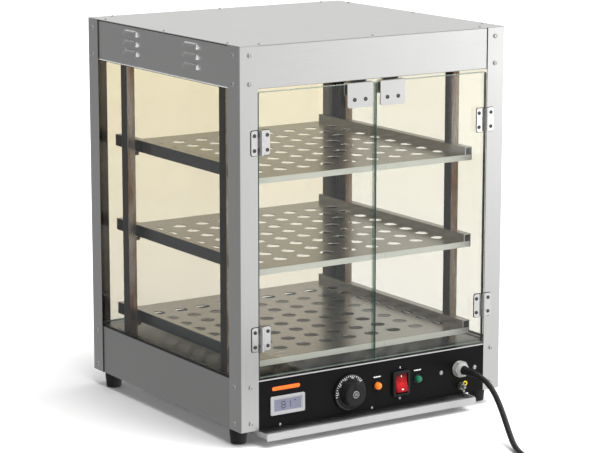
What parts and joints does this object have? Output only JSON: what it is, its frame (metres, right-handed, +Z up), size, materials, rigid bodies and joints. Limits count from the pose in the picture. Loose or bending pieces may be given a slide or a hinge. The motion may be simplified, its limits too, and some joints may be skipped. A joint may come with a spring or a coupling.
{
  "type": "hot food display case",
  "caption": "Countertop hot food display case with glass walls, double glass doors, perforated shelves, a control panel, a crumb tray and a mains lead.",
  "frame": {"origin": "on the table surface under the middle of the case, the mains lead left out", "axes": "+Z up, -Y towards the front with the doors and controls, +X to the right seen from the front"},
  "size_m": [0.3856, 0.7392, 0.4763],
  "materials": {
    "steel": "satin brushed",
    "bright_steel": "bright",
    "black_panel": "gloss",
    "glass": "clear, green edges",
    "rubber": "matt",
    "black_plastic": "satin",
    "amber": "translucent gloss",
    "green": "translucent gloss",
    "red": "translucent gloss",
    "grey_plastic": "satin",
    "screen": "gloss",
    "white_plastic": "satin",
    "diffuser": "opal",
    "brass": "plain",
    "cord_black": "satin",
    "magnet": "matt"
  },
  "bodies": {
    "case": {"top_cover": "steel", "header_front": "steel", "header_rear": "steel", "header_left": "steel", "header_right": "steel", "post_front_left": "steel", "post_front_right": "steel", "post_rear_left": "steel", "post_rear_right": "steel", "base_panel_left": "steel", "base_panel_right": "steel", "base_panel_rear": "steel", "bottom_plate": "steel", "deck_plate": "steel", "ceiling_panel": "steel", "shelf_rails_left": "steel", "shelf_rails_right": "steel", "heating_element": "steel", "heater_brackets": "steel", "hinge_leaves_case": "bright_steel", "hinge_pins": "bright_steel", "hinge_screws_case": "bright_steel", "post_screws": "bright_steel", "cover_screws": "bright_steel", "panel_screws": "bright_steel", "control_panel": "black_panel", "glass_left": "glass", "glass_right": "glass", "glass_rear": "glass", "rubber_feet": "rubber", "switch_housing": "black_plastic", "thermostat_body": "black_plastic", "lamp_amber": "amber", "lamp_green": "green", "cable_gland": "grey_plastic", "thermometer_bezel": "grey_plastic", "thermometer_screen": "screen", "terminal_block": "white_plastic", "ceiling_light": "diffuser", "earth_terminal": "brass", "cord": "cord_black", "cord_coil": "cord_black", "plug": "cord_black", "strain_relief": "cord_black", "magnet_catches": "magnet"},
    "left_door": {"door_glass_left": "glass", "door_clip_left": "steel", "door_screws_left": "bright_steel", "hinge_leaves_left_door": "bright_steel"},
    "right_door": {"door_glass_right": "glass", "door_clip_right": "steel", "door_screws_right": "bright_steel", "hinge_leaves_right_door": "bright_steel"},
    "thermostat_dial": {"thermostat_knob": "black_plastic", "thermostat_shaft": "bright_steel"},
    "rocker": {"switch_rocker": "red"},
    "upper_shelf": {"shelf_upper": "steel"},
    "middle_shelf": {"shelf_middle": "steel"},
    "lower_shelf": {"shelf_lower": "steel"},
    "tray": {"crumb_tray": "steel"}
  },
  "joints": [
    {"name": "left_door_hinge", "type": "hinge", "parent": "case", "child": "left_door", "pos_m": [-0.162, -0.184, 0.246], "axis": [0, 0, -1], "range_deg": [0, 170]},
    {"name": "right_door_hinge", "type": "hinge", "parent": "case", "child": "right_door", "pos_m": [0.162, -0.184, 0.246], "axis": [0, 0, 1], "range_deg": [0, 170]},
    {"name": "thermostat_turn", "type": "hinge", "parent": "case", "child": "thermostat_dial", "pos_m": [-0.0365, -0.1803, 0.0475], "axis": [0, 1, 0], "range_deg": [0, 270]},
    {"name": "switch_rock", "type": "hinge", "parent": "case", "child": "rocker", "pos_m": [0.0385, -0.1803, 0.048], "axis": [1, 0, 0], "range_deg": [0, 22]},
    {"name": "shelf_upper_lift", "type": "slide", "parent": "case", "child": "upper_shelf", "axis": [0, 0, 1], "range_m": [0, 0.02]},
    {"name": "shelf_middle_lift", "type": "slide", "parent": "case", "child": "middle_shelf", "axis": [0, 0, 1], "range_m": [0, 0.02]},
    {"name": "shelf_lower_lift", "type": "slide", "parent": "case", "child": "lower_shelf", "axis": [0, 0, 1], "range_m": [0, 0.02]},
    {"name": "tray_slide", "type": "slide", "parent": "case", "child": "tray", "axis": [0, -1, 0], "range_m": [0, 0.11]}
  ]
}
